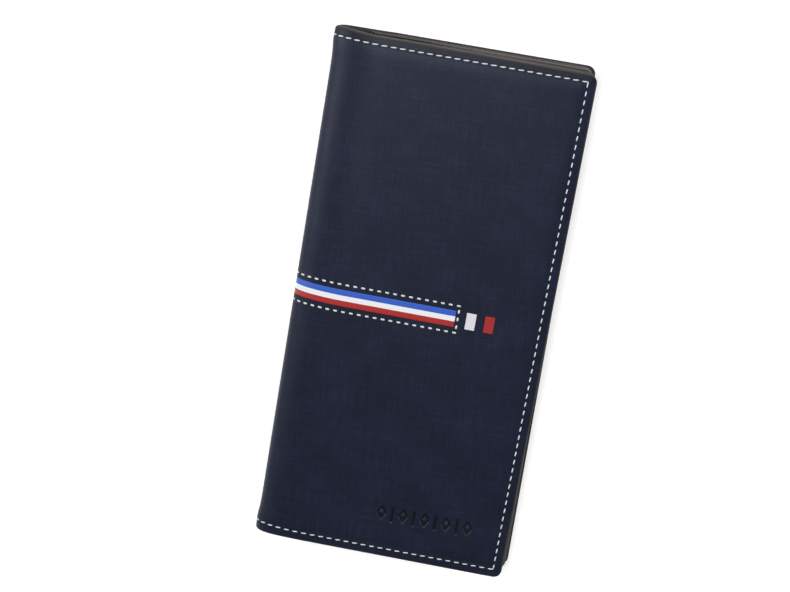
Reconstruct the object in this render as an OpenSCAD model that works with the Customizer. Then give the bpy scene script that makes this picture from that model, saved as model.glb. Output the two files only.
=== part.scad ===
// Long bifold wallet in leather, lying closed on its back cover.
// X: width, fold (spine) at -X and opening edge at +X. Y: length. Z: thickness, back cover down.
// The cover bends at two creases, one each side of the spine, so it opens flat like a book.

/* [Wallet] */
// Length of the closed wallet
wallet_len = 185; // [180:1:200]
// Width of the closed wallet, from fold to opening edge
wallet_w = 90; // [88:1:100]
// Thickness of the closed wallet
wallet_t = 14.5; // [14.3:0.1:18]
// Radius of the cover's outer corners
corner_r = 3; // [2:0.5:5]

/* [Fold] */
// How far in from the fold the cover starts to round over
roll_depth = 20; // [16:1:22]
// Place of each crease on the roll, as an angle round from the flat cover
crease_angle = 57; // [50:1:62]
// Half the space left between two pieces at a crease
crease_gap = 0.12; // [0.1:0.01:0.2]

/* [Layers] */
// Thickness of the outer leather
leather_t = 1.1; // [0.9:0.1:1.2]
// Thickness of the stiffening board
board_t = 0.5; // [0.4:0.1:0.6]
// Thickness of the lining cloth
lining_t = 0.25; // [0.2:0.05:0.3]
// Thickness of the inner leather panels
panel_t = 0.6; // [0.5:0.1:0.7]
// Height of the bill compartment in each half
bill_gap = 0.8; // [0.6:0.1:0.9]
// Width of the glued and stitched rim round each compartment
rim_w = 3.2; // [3:0.1:4]

/* [Card rows] */
// Thickness of one card row, with its pocket
row_t = 0.7; // [0.6:0.1:0.7]
// Height of the pocket inside a card row
pocket_gap = 0.2; // [0.15:0.05:0.25]
// Distance between the open edges of neighbouring rows
row_step = 7; // [6:0.5:8]
// Depth of a card pocket from its open edge
pocket_depth = 50; // [46:1:51]

/* [Coin pocket and zip] */
// Height of the space for coins
coin_gap = 0.9; // [0.9:0.1:1]
// Length of the zip between its stops
zip_len = 150; // [120:5:150]
// Distance of the zip's middle line from the fold
zip_from_fold = 21; // [20:1:24]
// Width of the window in the pocket wall that shows the zip
zip_window = 6; // [5.5:0.5:7]
// Length of the zip puller
puller_len = 17; // [12:1:18]

/* [Stitching] */
// Distance of the edge stitching from the cover's edge
stitch_inset = 3.1; // [3:0.1:3.5]
// Distance from one stitch to the next
stitch_pitch = 3.1; // [3:0.1:4]
// Length of one visible stitch
stitch_len = 2.1; // [1.8:0.1:2.5]
// Width of the thread
thread_w = 0.5; // [0.4:0.1:0.6]

/* [Ribbon] */
// Width of the striped ribbon
ribbon_w = 6; // [5:0.5:7]
// Place of the ribbon's end on the front cover, from the middle
ribbon_end_x = 12.3; // [8:0.1:14]
// Length of ribbon on the flat of the back cover
ribbon_back_len = 12; // [8:1:20]

/* [Hidden] */

tiny = 0.01;               // overlap that makes a cut come out clean
over = 5;                  // how far a cutting shape runs past what it cuts
arc_fn = 48;               // facets asked for on a true round
arc_steps = 14;            // straight facets along one stretch of the roll

half_t = wallet_t / 2;
edge_x = wallet_w / 2;
end_y = wallet_len / 2;
roll_x = -edge_x + roll_depth;            // where the flat cover meets the roll
lining_z = leather_t + board_t;           // underside of the lining on the flat
lining_top = lining_z + lining_t;
panel_top = lining_top + bill_gap + panel_t;
inner_x = -edge_x + 12;                   // fold-side edge of the inner panels
lining_inset = 0.4;                       // inner layers end just inside the cover's edge
board_inset = 4;
row_inset = 0.5;

coin_lining_t = 0.2;
coin_floor = panel_top + coin_lining_t;
coin_top = coin_floor + coin_gap + panel_t;
zip_x = -edge_x + zip_from_fold;
tape_t = 0.3;
tape_w = 5.2;
coil_w = 1.6;
coil_t = 0.8;
coil_space = 0.7;                         // between the two coils, for the slider's neck
tape_offset = (coil_space + coil_w + tape_w) / 2;
tape_tail = 5;                            // tape past each end of the zip
stop_len = 1.6;
tape_z = coin_floor + coin_gap - tape_t;  // the tapes are sewn under the pocket wall
coil_z = tape_z - 0.1;
slider_w = 6.4;
slider_len = 8;
slider_plate = 0.35;
slider_low_z = coil_z - 0.1 - slider_plate;
slider_top_z = coin_top + 0.1;
neck_w = 0.4;
post_r = 0.6;
bridge_z = slider_top_z + slider_plate + 0.85;
bridge_t = 0.4;
bridge_span = 3.2;                        // from the round post to the rear post
eye_r = 1.1;
eye_rim = 1;
puller_w = 4.6;
puller_t = 0.5;
puller_z = slider_top_z + slider_plate + 0.2;
slider_y = zip_len / 2 - slider_len;      // the zip is closed at rest

groove_d = 0.3;                           // depth of the stitch groove and the ribbon recess
groove_w = 0.8;
ribbon_t = 0.28;                          // the ribbon lies flush, with a hair of glue under it
box_gap = 1.9;                            // from the ribbon's edge to its own stitching
box_end = 0.9;                            // from the ribbon's end to the short row of stitches
box_pitch = 2.85;
box_stitch = 1.5;
box_thread = 0.7;
tab_w = 3.4;
white_tab_x = ribbon_end_x + 5.5;
red_tab_x = white_tab_x + 6.5;
tab_side = 0.05;                          // play round a ribbon or tab in its recess
mark_x = 14.5;                            // middle of the pressed mark
mark_y = -75.8;
mark_h = 6;
mark_step = 3.9;
mark_count = 9;
mark_bar = 1;

front_rows = 4;
rows_from_panel = 4;                      // from the front panel's edge to the first row
rows_from_zip = 12;                       // from the zip to the first row of the back half
window_z = panel_top + front_rows * row_t;
window_x = 1;
window_y = -end_y + row_inset + corner_r;
window_w = edge_x - row_inset - corner_r - window_x;
window_len = 80;
window_border = 5;
film_t = 0.2;

navy = "#2b3450";
navy_inside = "#272e45";
lining_grey = "#4a4d55";
thread_white = "#ececee";

// Rounded fold: an ellipse from the back cover (0 degrees) round to the front cover (180).
function travel(t) = sqrt(pow(roll_depth * cos(t), 2) + pow(half_t * sin(t), 2));
function roll(t, depth) = [
    roll_x - roll_depth * sin(t) + depth * half_t * sin(t) / travel(t),
    half_t - half_t * cos(t) + depth * roll_depth * cos(t) / travel(t)
];
function turn(t, distance) = distance / travel(t) * 180 / PI;
function arc(t0, t1, depth) = [for (i = [0:arc_steps]) roll(t0 + (t1 - t0) * i / arc_steps, depth)];
function stitch_turns(t, last) = t + turn(t, stitch_len) > last ? []
    : concat([t], stitch_turns(t + turn(t, stitch_pitch), last));

lip_end = crease_angle - turn(crease_angle, crease_gap);
spine_start = crease_angle + turn(crease_angle, crease_gap);
spine_end = 180 - spine_start;

// Puts a part of the back half in the front half, face to face with where it was.
module in_front() {
    translate([0, 0, wallet_t]) mirror([0, 0, 1]) children();
}

// Runs an X-Z outline along the wallet's length.
module along_length(length) {
    rotate([90, 0, 0]) linear_extrude(height = length, center = true) children();
}

// Part of the roll between two angles and two depths below the outer surface.
module roll_band(t0, t1, outer, inner) {
    polygon(concat(arc(t0, t1, outer), arc(t1, t0, inner)));
}

// Outline of one half seen from above, rounded at the two outer corners.
module half_outline(inset, from_x) {
    reach_x = edge_x - inset;
    reach_y = end_y - inset;
    translate([from_x, -reach_y]) square([reach_x - corner_r - from_x, 2 * reach_y]);
    translate([from_x, -reach_y + corner_r]) square([reach_x - from_x, 2 * (reach_y - corner_r)]);
    for (side = [-1, 1])
        translate([reach_x - corner_r, side * (reach_y - corner_r)]) circle(r = corner_r, $fn = arc_fn);
}

module half_plate(inset, from_x, z, height) {
    translate([0, 0, z]) linear_extrude(height = height) half_outline(inset, from_x);
}

// Groove for the edge stitching: down the opening edge and along both ends to the crease.
module stitch_groove() {
    line_x = edge_x - stitch_inset;
    line_y = end_y - stitch_inset;
    translate([line_x - groove_w / 2, -line_y - groove_w / 2, -over])
        cube([groove_w, 2 * line_y + groove_w, over + groove_d]);
    for (side = [-1, 1]) {
        translate([roll_x - tiny, side * line_y - groove_w / 2, -over])
            cube([line_x - roll_x, groove_w, over + groove_d]);
        translate([0, side * line_y, 0]) along_length(groove_w)
            roll_band(0, crease_angle, -over / 2, groove_d);
    }
}

module flat_stitches(count, step, size) {
    for (i = [0:count - 1]) translate([i * step, 0, 0])
        translate([0, -size[1] / 2, 0]) cube([size[0], size[1], groove_d]);
}

// Stitches of one half, lying in its groove.
module half_stitching() {
    line_x = edge_x - stitch_inset;
    line_y = end_y - stitch_inset;
    side_count = floor(2 * line_y / stitch_pitch);
    end_count = floor((line_x - roll_x) / stitch_pitch);
    translate([line_x, -line_y + stitch_pitch / 2, 0]) rotate([0, 0, 90])
        flat_stitches(side_count, stitch_pitch, [stitch_len, thread_w]);
    for (side = [-1, 1]) {
        translate([line_x - end_count * stitch_pitch, side * line_y, 0])
            flat_stitches(end_count, stitch_pitch, [stitch_len, thread_w]);
        for (t = stitch_turns(turn(0, stitch_pitch - stitch_len), lip_end))
            translate([0, side * line_y, 0]) along_length(thread_w)
                roll_band(t, t + turn(t, stitch_len), 0, groove_d);
    }
}

// Ribbon on one half: flat up to end_x, then over the roll to the angle last.
// It fills the space from depth outer down to depth inner, below the outside of the cover.
module half_ribbon(end_x, width, last, outer, inner) {
    translate([roll_x - tiny, -width / 2, outer]) cube([end_x - roll_x + tiny, width, inner - outer]);
    along_length(width) roll_band(0, last, outer, inner);
}

// Outer leather of one half, with the lip that rolls up to the crease.
module half_cover(ribbon_x) {
    difference() {
        intersection() {
            along_length(wallet_len)
                polygon(concat([[edge_x, 0]], arc(0, lip_end, 0), arc(lip_end, 0, leather_t),
                    [[edge_x, leather_t]]));
            half_plate(0, -wallet_w, -tiny, wallet_t);
        }
        stitch_groove();
        half_ribbon(ribbon_x + tab_side, ribbon_w + 2 * tab_side, crease_angle, -over / 2, groove_d);
    }
}

module half_board() {
    half_plate(board_inset, roll_x, leather_t, board_t);
}

module half_lining() {
    intersection() {
        along_length(wallet_len - 2 * lining_inset)
            polygon(concat([[edge_x, lining_z], [roll_x, lining_z]], arc(0, lip_end, leather_t),
                arc(lip_end, 0, lining_top), [[edge_x, lining_top]]));
        half_plate(lining_inset, -wallet_w, 0, wallet_t);
    }
}

// Inner panel whose glued rim leaves a bill compartment open towards the fold.
module half_panel() {
    difference() {
        half_plate(lining_inset, inner_x, lining_top, bill_gap + panel_t);
        translate([-wallet_w, -end_y + rim_w, lining_top - tiny])
            cube([wallet_w + edge_x - rim_w, wallet_len - 2 * rim_w, bill_gap + tiny]);
        translate([-wallet_w, -end_y, lining_top - tiny])
            cube([wallet_w + roll_x, wallet_len, bill_gap + tiny]);
    }
}

// One card row: a leather strip sewn at its ends, its bottom and the middle, which makes two pockets.
module card_row(open_x, z) {
    difference() {
        half_plate(row_inset, open_x, z, row_t);
        for (side = [-1, 1]) translate([open_x - tiny, side > 0 ? rim_w / 2 : -end_y + rim_w, z - tiny])
            cube([min(pocket_depth, edge_x - rim_w - open_x), end_y - 1.5 * rim_w, pocket_gap + tiny]);
    }
}

module back_cover() {
    color(navy) half_cover(roll_x + ribbon_back_len);
}

module back_board() {
    color("#8a8174") half_board();
}

module back_lining() {
    color(lining_grey) half_lining();
}

module back_panel() {
    color(navy_inside) half_panel();
}

module back_stitching() {
    color(thread_white) half_stitching();
}

module back_ribbon() {
    color("#2456c4") half_ribbon(roll_x + ribbon_back_len, ribbon_w, lip_end, 0, ribbon_t);
}

// Thin cloth floor of the coin pocket.
module coin_lining() {
    color("#1f2126") half_plate(row_inset, inner_x + 1, panel_top, coin_lining_t);
}

// Leather wall of the coin pocket, closed all round by its rim, with a window for the zip.
module coin_wall() {
    color(navy_inside) difference() {
        half_plate(row_inset, inner_x + 1, coin_floor, coin_gap + panel_t);
        translate([inner_x + 1 + rim_w / 2, -end_y + rim_w, coin_floor - tiny])
            cube([edge_x - rim_w - inner_x - 1 - rim_w / 2, wallet_len - 2 * rim_w, coin_gap + tiny]);
        translate([zip_x - zip_window / 2, -zip_len / 2, coin_floor])
            cube([zip_window, zip_len, over]);
    }
}

// Woven tape on one side of the zip (side -1 is towards the fold).
module zip_tape(side) {
    color("#16171b") translate([zip_x + side * tape_offset - tape_w / 2, -zip_len / 2 - tape_tail, tape_z])
        cube([tape_w, zip_len + 2 * tape_tail, tape_t]);
}

// Row of coil teeth on one side, open towards the tape it is sewn to.
module zip_coil(side) {
    color("#0f1013") difference() {
        translate([zip_x + side * (coil_space + coil_w) / 2 - coil_w / 2, -zip_len / 2 + stop_len, coil_z])
            cube([coil_w, zip_len - 2 * stop_len, coil_t]);
        translate([zip_x + side * tape_offset - tape_w / 2 - tiny, -zip_len, tape_z - tiny])
            cube([tape_w + 2 * tiny, 2 * zip_len, tape_t + 2 * tiny]);
    }
}

// Metal stop across both coils at each end of the zip.
module zip_stops() {
    color("#b9bbc0") for (side = [-1, 1])
        translate([zip_x, side * (zip_len - stop_len) / 2, coil_z + tape_t + coil_t / 2 + 0.1])
            cube([coil_space + 2 * coil_w, stop_len, coil_t], center = true);
}

module back_card_row(number) {
    color(navy) card_row(zip_x + rows_from_zip + (number - 1) * row_step, coin_top + (number - 1) * row_t);
}

module spine_cover() {
    color(navy) difference() {
        along_length(wallet_len) roll_band(spine_start, spine_end, 0, leather_t);
        along_length(ribbon_w + 2 * tab_side) roll_band(crease_angle, 180 - crease_angle, -1, groove_d);
        for (side = [-1, 1]) translate([0, side * (end_y - stitch_inset), 0]) along_length(groove_w)
            roll_band(crease_angle, 180 - crease_angle, -1, groove_d);
    }
}

module spine_lining() {
    color(lining_grey) along_length(wallet_len - 2 * lining_inset)
        roll_band(spine_start, spine_end, leather_t, lining_top);
}

module spine_stitching() {
    color(thread_white) for (side = [-1, 1], t = stitch_turns(spine_start + 1, spine_end))
        translate([0, side * (end_y - stitch_inset), 0]) along_length(thread_w)
            roll_band(t, t + turn(t, stitch_len), 0, groove_d);
}

module spine_ribbon() {
    color("#f0f0f2") along_length(ribbon_w) roll_band(spine_start, spine_end, 0, ribbon_t);
}

// Pressed mark: upright bars and lozenges in turn, in one line along the width.
module pressed_mark() {
    for (i = [0:mark_count - 1])
        translate([mark_x + (i - (mark_count - 1) / 2) * mark_step, mark_y, -over])
            if (i % 2 == 0) rotate([0, 0, 45])
                translate([-mark_h / 4, -mark_h / 4, 0]) cube([mark_h / 2, mark_h / 2, over + groove_d]);
            else translate([-mark_bar / 2, -mark_h / 2, 0]) cube([mark_bar, mark_h, over + groove_d]);
}

module tab(x, play) {
    translate([x - tab_w / 2 - play, -ribbon_w / 2 - play, -play])
        cube([tab_w + 2 * play, ribbon_w + 2 * play, groove_d + play]);
}

// Stitches that hold the ribbon down: a row along each side and a short row across its end.
module ribbon_box(thread, long, depth_out) {
    line_y = ribbon_w / 2 + box_gap;
    line_x = ribbon_end_x + box_end;
    count = floor((line_x - roll_x) / box_pitch);
    for (side = [-1, 1], i = [0:count - 1])
        translate([line_x - long - i * box_pitch, side * line_y - thread / 2, -depth_out])
            cube([long, thread, groove_d + depth_out]);
    for (i = [-1:1])
        translate([line_x - thread / 2, i * box_pitch - long / 2, -depth_out])
            cube([thread, long, groove_d + depth_out]);
}

module front_cover() {
    color(navy) in_front() difference() {
        half_cover(ribbon_end_x);
        pressed_mark();
        tab(white_tab_x, tab_side);
        tab(red_tab_x, tab_side);
        ribbon_box(box_thread + 2 * tab_side, box_stitch + 2 * tab_side, over);
    }
}

module front_board() {
    color("#8a8174") in_front() half_board();
}

module front_lining() {
    color(lining_grey) in_front() half_lining();
}

module front_panel() {
    color(navy_inside) in_front() half_panel();
}

module front_stitching() {
    color(thread_white) in_front() half_stitching();
}

module front_ribbon() {
    color("#2456c4") in_front() half_ribbon(ribbon_end_x, ribbon_w, lip_end, 0, ribbon_t);
}

module ribbon_stitching() {
    color(thread_white) in_front() ribbon_box(box_thread, box_stitch, 0);
}

module white_tab() {
    color("#eeeef0") in_front() tab(white_tab_x, 0);
}

module red_tab() {
    color("#b3201f") in_front() tab(red_tab_x, 0);
}

module front_card_row(number) {
    color(navy) in_front()
        card_row(inner_x + rows_from_panel + (number - 1) * row_step, panel_top + (number - 1) * row_t);
}

module window_plate(inset, z, height) {
    translate([window_x + inset, window_y + inset, z])
        cube([window_w - 2 * inset, window_len - 2 * inset, height]);
}

// Leather frame of the picture window, on top of the card rows at one end of the front half.
module window_frame() {
    color(navy_inside) in_front() difference() {
        window_plate(0, window_z, panel_t);
        window_plate(window_border, window_z - tiny, over);
        window_plate(window_border / 2, window_z - tiny, film_t + tiny);
    }
}

module window_film() {
    color("#dfe8ee", 0.35) in_front() window_plate(window_border / 2, window_z, film_t);
}

// Slider: two plates joined by a neck between the coils, with a bridge for the puller's eye.
module zip_slider() {
    color("#c4c6ca") translate([zip_x, slider_y, 0]) {
        for (z = [slider_low_z, slider_top_z])
            translate([-slider_w / 2, -slider_len / 2, z]) cube([slider_w, slider_len, slider_plate]);
        translate([-neck_w / 2, 0, slider_low_z])
            cube([neck_w, slider_len / 2, slider_top_z - slider_low_z + tiny]);
        translate([0, 0, slider_top_z])
            cylinder(h = bridge_z - slider_top_z + tiny, r = post_r, $fn = arc_fn);
        translate([-post_r, bridge_span - post_r, slider_top_z])
            cube([2 * post_r, 2 * post_r, bridge_z + bridge_t - slider_top_z]);
        translate([-post_r, -2 * post_r, bridge_z])
            cube([2 * post_r, bridge_span + 3 * post_r, bridge_t]);
    }
}

// Puller: a flat metal drop with an eye round the slider's post.
module zip_puller() {
    tip_y = -puller_len + puller_w / 2;
    color("#c4c6ca") translate([zip_x, slider_y, puller_z]) linear_extrude(height = puller_t) difference() {
        union() {
            circle(r = eye_r + eye_rim, $fn = arc_fn);
            translate([-eye_r, tip_y]) square([2 * eye_r, -tip_y - eye_r]);
            translate([-puller_w / 2, tip_y]) square([puller_w, puller_len - 2 * puller_w]);
            translate([0, tip_y]) circle(d = puller_w, $fn = arc_fn);
        }
        circle(r = eye_r, $fn = arc_fn);
        translate([0, tip_y]) circle(r = eye_r, $fn = arc_fn);
    }
}

back_cover();
back_board();
back_lining();
back_panel();
back_stitching();
back_ribbon();
coin_lining();
coin_wall();
zip_tape(-1);  // zip_tape_fold_side
zip_tape(1);  // zip_tape_edge_side
zip_coil(-1);  // zip_coil_fold_side
zip_coil(1);  // zip_coil_edge_side
zip_stops();
back_card_row(1);  // back_card_row_1
back_card_row(2);  // back_card_row_2
back_card_row(3);  // back_card_row_3
spine_cover();
spine_lining();
spine_stitching();
spine_ribbon();
front_cover();
front_board();
front_lining();
front_panel();
front_stitching();
front_ribbon();
ribbon_stitching();
white_tab();
red_tab();
front_card_row(1);  // front_card_row_1
front_card_row(2);  // front_card_row_2
front_card_row(3);  // front_card_row_3
front_card_row(4);  // front_card_row_4
window_frame();
window_film();
zip_slider();
zip_puller();
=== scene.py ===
# Long bifold wallet in navy coated leather, lying closed on its back cover.
import math

import bmesh
import bpy
import numpy as np
from mathutils import Matrix, Vector


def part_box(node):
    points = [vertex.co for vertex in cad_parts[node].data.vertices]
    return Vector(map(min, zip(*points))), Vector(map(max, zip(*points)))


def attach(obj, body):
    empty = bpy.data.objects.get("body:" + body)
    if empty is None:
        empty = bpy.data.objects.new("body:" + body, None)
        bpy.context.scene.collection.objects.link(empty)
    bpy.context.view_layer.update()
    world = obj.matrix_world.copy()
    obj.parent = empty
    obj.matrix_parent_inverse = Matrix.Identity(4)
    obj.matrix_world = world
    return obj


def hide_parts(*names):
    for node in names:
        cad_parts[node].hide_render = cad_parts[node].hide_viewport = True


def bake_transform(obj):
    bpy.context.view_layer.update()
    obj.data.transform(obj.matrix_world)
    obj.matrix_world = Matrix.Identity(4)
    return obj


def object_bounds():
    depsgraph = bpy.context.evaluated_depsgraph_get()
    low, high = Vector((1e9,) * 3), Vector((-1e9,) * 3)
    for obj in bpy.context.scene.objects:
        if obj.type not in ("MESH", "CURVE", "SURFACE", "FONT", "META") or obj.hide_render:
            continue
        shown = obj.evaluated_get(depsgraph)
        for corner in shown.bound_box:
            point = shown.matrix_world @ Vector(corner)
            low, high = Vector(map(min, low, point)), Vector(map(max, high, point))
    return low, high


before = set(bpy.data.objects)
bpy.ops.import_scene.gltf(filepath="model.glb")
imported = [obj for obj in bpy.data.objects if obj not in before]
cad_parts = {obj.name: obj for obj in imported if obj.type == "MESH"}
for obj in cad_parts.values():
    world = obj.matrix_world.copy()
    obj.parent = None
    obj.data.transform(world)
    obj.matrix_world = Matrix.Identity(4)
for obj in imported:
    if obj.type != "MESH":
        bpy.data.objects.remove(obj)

cad_low, cad_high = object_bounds()
mm = 0.001

# --------------------
# Outer cover. One sheet of coated split leather, die cut, pressed with a linen-like face, skived
# at its edges and wrapped round the fold. It bends at two creases, so it is made as two halves
# that meet on the middle line of the fold.
edge_x = cad_high.x
end_y = cad_high.y
thick = cad_high.z
middle = thick / 2
roll_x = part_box("back_board")[0].x  # the fold begins here, and turns round to fold_x
roll_depth = roll_x - cad_low.x
leather_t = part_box("back_board")[0].z
corner_r = 3 * mm
stitch_inset = 3.1 * mm
stitch_top = 2.6 * mm  # the row at the front's far end
recess = 0.3 * mm
play = 0.06 * mm
back_turn = 0.012
back_still_y = 0.8 * end_y
back_longer = 0.5 * mm
front_out = 0.5 * mm
flare = 1.1 * mm
flare_reach = 6 * mm
rim_flare = 0.9 * mm
rim_reach = 2.2 * mm
half_name = {1: "front", -1: "back"}

roll_angles = np.linspace(0, math.pi / 2, 600)
roll_points = np.stack([-roll_depth * np.sin(roll_angles), middle * np.cos(roll_angles)], 1)
roll_arc = np.concatenate([[0], np.cumsum(np.hypot(*np.diff(roll_points, axis=0).T))])
fold_x = roll_x - roll_arc[-1]


def askew(co, side):
    """Cut and sewn by hand, neither half is quite square. The front's far corner stands half a millimetre out
    and its near corner half a millimetre down. The back has settled crooked under it: its near end lies 2 mm
    further out, and it is half a millimetre longer at each end."""
    out = np.clip(co[:, 0] - roll_x, 0, None)
    share = out / (edge_x - roll_x)
    if side > 0:
        far = (co[:, 1] + end_y) / (2 * end_y)
        co[:, 0] += front_out * share * far
        co[:, 1] -= front_out * share * (1 - far)
    else:
        from_fold = np.clip((co[:, 0] - cad_low.x) / roll_depth, 0, 1)
        co[:, 1] += back_longer * from_fold * co[:, 1] / end_y
        co[:, 0] += share * back_turn * (back_still_y - co[:, 1])
        co[:, 1] += 0.5 * back_turn * out
    return co


def wrap(flat, side):
    """Points of the flat pattern (x, y, height) bent round the fold; side 1 is the front half, -1 the back.
    The fold flares towards its two ends, where nothing presses it flat."""
    x, y, height = flat.T
    angle = np.interp(np.clip(roll_x - x, 0, roll_arc[-1]), roll_arc, roll_angles)
    speed = np.hypot(roll_depth * np.cos(angle), middle * np.sin(angle))
    out_x = np.where(x < roll_x, -middle * np.sin(angle) / speed, 0)
    out_z = roll_depth * np.cos(angle) / speed
    round_x = np.where(x < roll_x, roll_x - roll_depth * np.sin(angle), x)
    rise = middle * np.cos(angle) + height * out_z
    near_end = end_y - np.abs(y)
    round_x = round_x - flare * np.sin(angle) * np.exp(-(near_end / flare_reach) ** 2)
    swell = np.sin(2 * angle) * np.sin(angle) ** 2 * np.exp(-(near_end / rim_reach) ** 2)
    y = y + np.sign(y) * rim_flare * swell
    return askew(np.stack([round_x + height * out_x, y, middle + side * rise], 1), side)


closest_lines = 0.04 * mm


def lines(*runs, at=()):
    """Cutting lines in order. Each run is (from, to, step), at holds single lines, and lines that nearly meet
    become one."""
    every = [np.linspace(a, b, max(1, round(abs(b - a) / step)) + 1) for a, b, step in runs]
    every = np.sort(np.concatenate([*every, at]))
    kept = [every[0]]
    for value in every[1:]:
        if value - kept[-1] > closest_lines:
            kept.append(value)
    kept[-1] = every[-1]
    return np.array(kept)


def points_of(piece):
    co = np.empty(len(piece.data.vertices) * 3)
    piece.data.vertices.foreach_get("co", co)
    return co.reshape(-1, 3)


def set_points(piece, co):
    piece.data.vertices.foreach_set("co", np.asarray(co, np.float32).ravel())
    piece.data.update()


def select_only(piece):
    bpy.ops.object.select_all(action="DESELECT")
    piece.select_set(True)
    bpy.context.view_layer.objects.active = piece


def apply_modifiers(piece):
    select_only(piece)
    for modifier in list(piece.modifiers):
        bpy.ops.object.modifier_apply(modifier=modifier.name)


def add_primitive(name, operator, **settings):
    bpy.ops.object.select_all(action="DESELECT")
    operator(**settings)
    piece = bpy.context.object
    piece.name = name
    piece.data.name = name
    return piece


def edit_whole(piece, operator, **settings):
    """Runs an edit mode operator on all of a piece."""
    select_only(piece)
    bpy.ops.object.mode_set(mode="EDIT")
    bpy.ops.mesh.select_all(action="SELECT")
    operator(**settings)
    bpy.ops.object.mode_set(mode="OBJECT")


def cut_sheet(name, xs, ys, height=None, corners=False, keep=None):
    """Flat sheet on those cutting lines with a flat UV map. Its height may be pressed in, its two corners at
    the opening edge may be round, and keep(x, y) may pick the faces that stay."""
    piece = add_primitive(name, bpy.ops.mesh.primitive_grid_add, size=1,
                          x_subdivisions=len(xs) - 1, y_subdivisions=len(ys) - 1)
    co = points_of(piece)
    x = xs[np.rint((co[:, 0] + 0.5) * (len(xs) - 1)).astype(int)]
    y = ys[np.rint((co[:, 1] + 0.5) * (len(ys) - 1)).astype(int)]
    h = height(x, y) if height else np.zeros_like(x)
    layer = piece.data.uv_layers.active
    layer.name = "flat"
    corner = np.empty(len(piece.data.loops), int)
    piece.data.loops.foreach_get("vertex_index", corner)
    layer.data.foreach_set("uv", np.stack([x, y], 1)[corner].astype(np.float32).ravel())
    if corners:
        u = np.clip((x - (xs[-1] - corner_r)) / corner_r, 0, 1)
        v = np.clip((np.abs(y) - (ys[-1] - corner_r)) / corner_r, 0, 1)
        x = x - corner_r * u * (1 - np.sqrt(1 - v * v / 2))
        y = y - np.sign(y) * corner_r * v * (1 - np.sqrt(1 - u * u / 2))
    set_points(piece, np.stack([x, y, h], 1))
    if keep is not None:
        select_only(piece)
        bpy.ops.object.mode_set(mode="EDIT")
        bpy.ops.mesh.select_mode(type="FACE")
        mesh = bmesh.from_edit_mesh(piece.data)
        for face in mesh.faces:
            centre = face.calc_center_median()
            face.select_set(not keep(centre.x, centre.y))
        bmesh.update_edit_mesh(piece.data)
        bpy.ops.mesh.delete(type="FACE")
        bpy.ops.object.mode_set(mode="OBJECT")
    return piece


def thicken(piece, thickness, materials, smooth=50, painted=None):
    """Gives a sheet its thickness below its face. The materials are those of its face, its edge and its back.
    The edge's also takes the faces that painted(x, y) picks, by their place on the flat pattern."""
    for material in materials:
        piece.data.materials.append(material)
    if painted:
        flat = piece.data.uv_layers["flat"].data
        for face in piece.data.polygons:
            u, v = np.mean([flat[i].uv for i in face.loop_indices], 0)
            face.material_index = int(painted(u, v))
    solid = piece.modifiers.new("thickness", "SOLIDIFY")
    solid.thickness = thickness
    solid.offset = -1
    solid.material_offset_rim = min(1, len(materials) - 1)
    solid.material_offset = len(materials) - 1
    apply_modifiers(piece)
    select_only(piece)
    bpy.ops.object.shade_smooth_by_angle(angle=math.radians(smooth))
    return piece


def linear(hex_colour):
    """An sRGB hex colour as the linear colour that a shader wants."""
    parts = [int(hex_colour[i:i + 2], 16) / 255 for i in (1, 3, 5)]
    return (*[p / 12.92 if p <= 0.04045 else ((p + 0.055) / 1.055) ** 2.4 for p in parts], 1)


def add(tree, kind, inputs=None, stops=(), out=0, to=None, **settings):
    """Adds a node with its settings and links, and gives one of its outputs, which may also be linked to a
    socket. An input is a value or another node's output, and stops are a ramp's (position, hex colour)."""
    node = tree.nodes.new(kind)
    for name, value in settings.items():
        setattr(node, name, value)
    for n, (position, colour) in enumerate(stops):
        stop = node.color_ramp.elements[n] if n < 2 else node.color_ramp.elements.new(position)
        stop.position = position
        stop.color = linear(colour)
    for name, value in (inputs or {}).items():
        if isinstance(value, bpy.types.NodeSocket):
            tree.links.new(value, node.inputs[name])
        else:
            node.inputs[name].default_value = value
    if to:
        tree.links.new(node.outputs[out], to)
    return node.outputs[out]


def finish_of(name, roughness, **settings):
    """A new material, its tree and its shader's sockets. The settings name sockets, with underscores for
    their spaces."""
    material = bpy.data.materials.new(name)
    material.use_nodes = True
    sockets = material.node_tree.nodes["Principled BSDF"].inputs
    sockets["Roughness"].default_value = roughness
    for socket, value in settings.items():
        sockets[socket.replace("_", " ")].default_value = value
    return material, material.node_tree, sockets


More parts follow.
